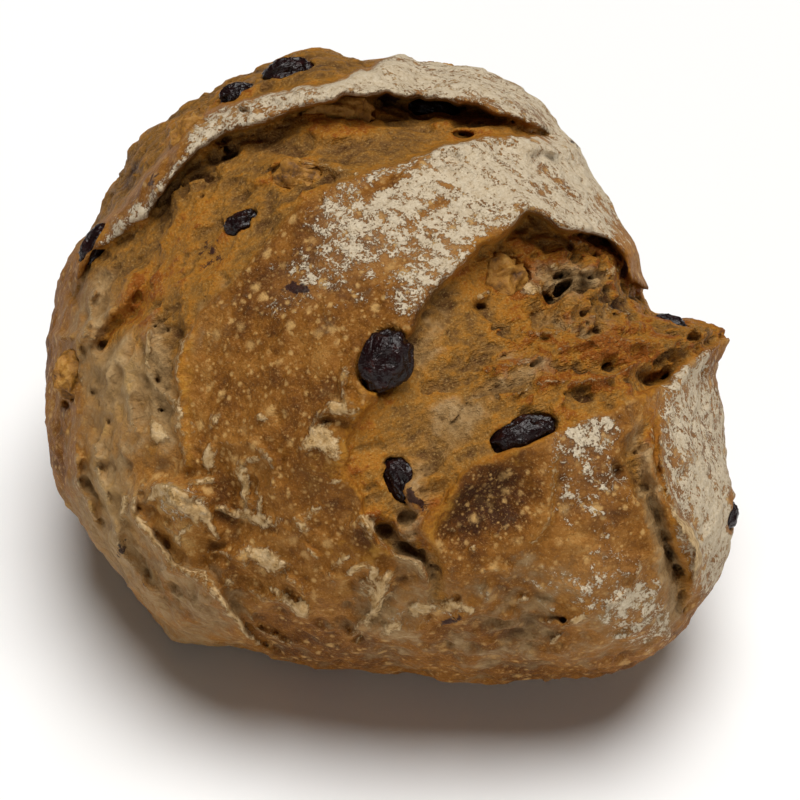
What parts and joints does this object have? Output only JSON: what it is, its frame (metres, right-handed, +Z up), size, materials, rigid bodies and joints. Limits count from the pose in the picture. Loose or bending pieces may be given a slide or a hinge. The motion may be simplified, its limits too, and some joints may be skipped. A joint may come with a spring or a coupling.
{
  "type": "walnut raisin sourdough loaf",
  "caption": "Round-oval hearth loaf with a floured, deeply browned crust that burst open along cross cuts, with raisins and walnut pieces showing.",
  "frame": {"origin": "middle of the part's box, at the flat base", "axes": "+Z up, +Y along the loaf's long axis, with the cuts running roughly along X"},
  "size_m": [0.1262, 0.159, 0.1069],
  "materials": {
    "crust": "matt, browned and dusted with flour",
    "raisin": "wrinkled, dark and slightly glossy",
    "walnut": "satin, toasted"
  },
  "bodies": {
    "root": {"loaf": "crust", "raisin_01": "raisin", "raisin_02": "raisin", "raisin_03": "raisin", "raisin_04": "raisin", "raisin_05": "raisin", "raisin_06": "raisin", "raisin_07": "raisin", "raisin_08": "raisin", "raisin_09": "raisin", "raisin_10": "raisin", "raisin_11": "raisin", "raisin_12": "raisin", "raisin_13": "raisin", "walnut_01": "walnut", "walnut_02": "walnut", "walnut_03": "walnut", "walnut_04": "walnut", "walnut_05": "walnut", "walnut_06": "walnut", "walnut_07": "walnut", "walnut_08": "walnut"}
  },
  "joints": []
}
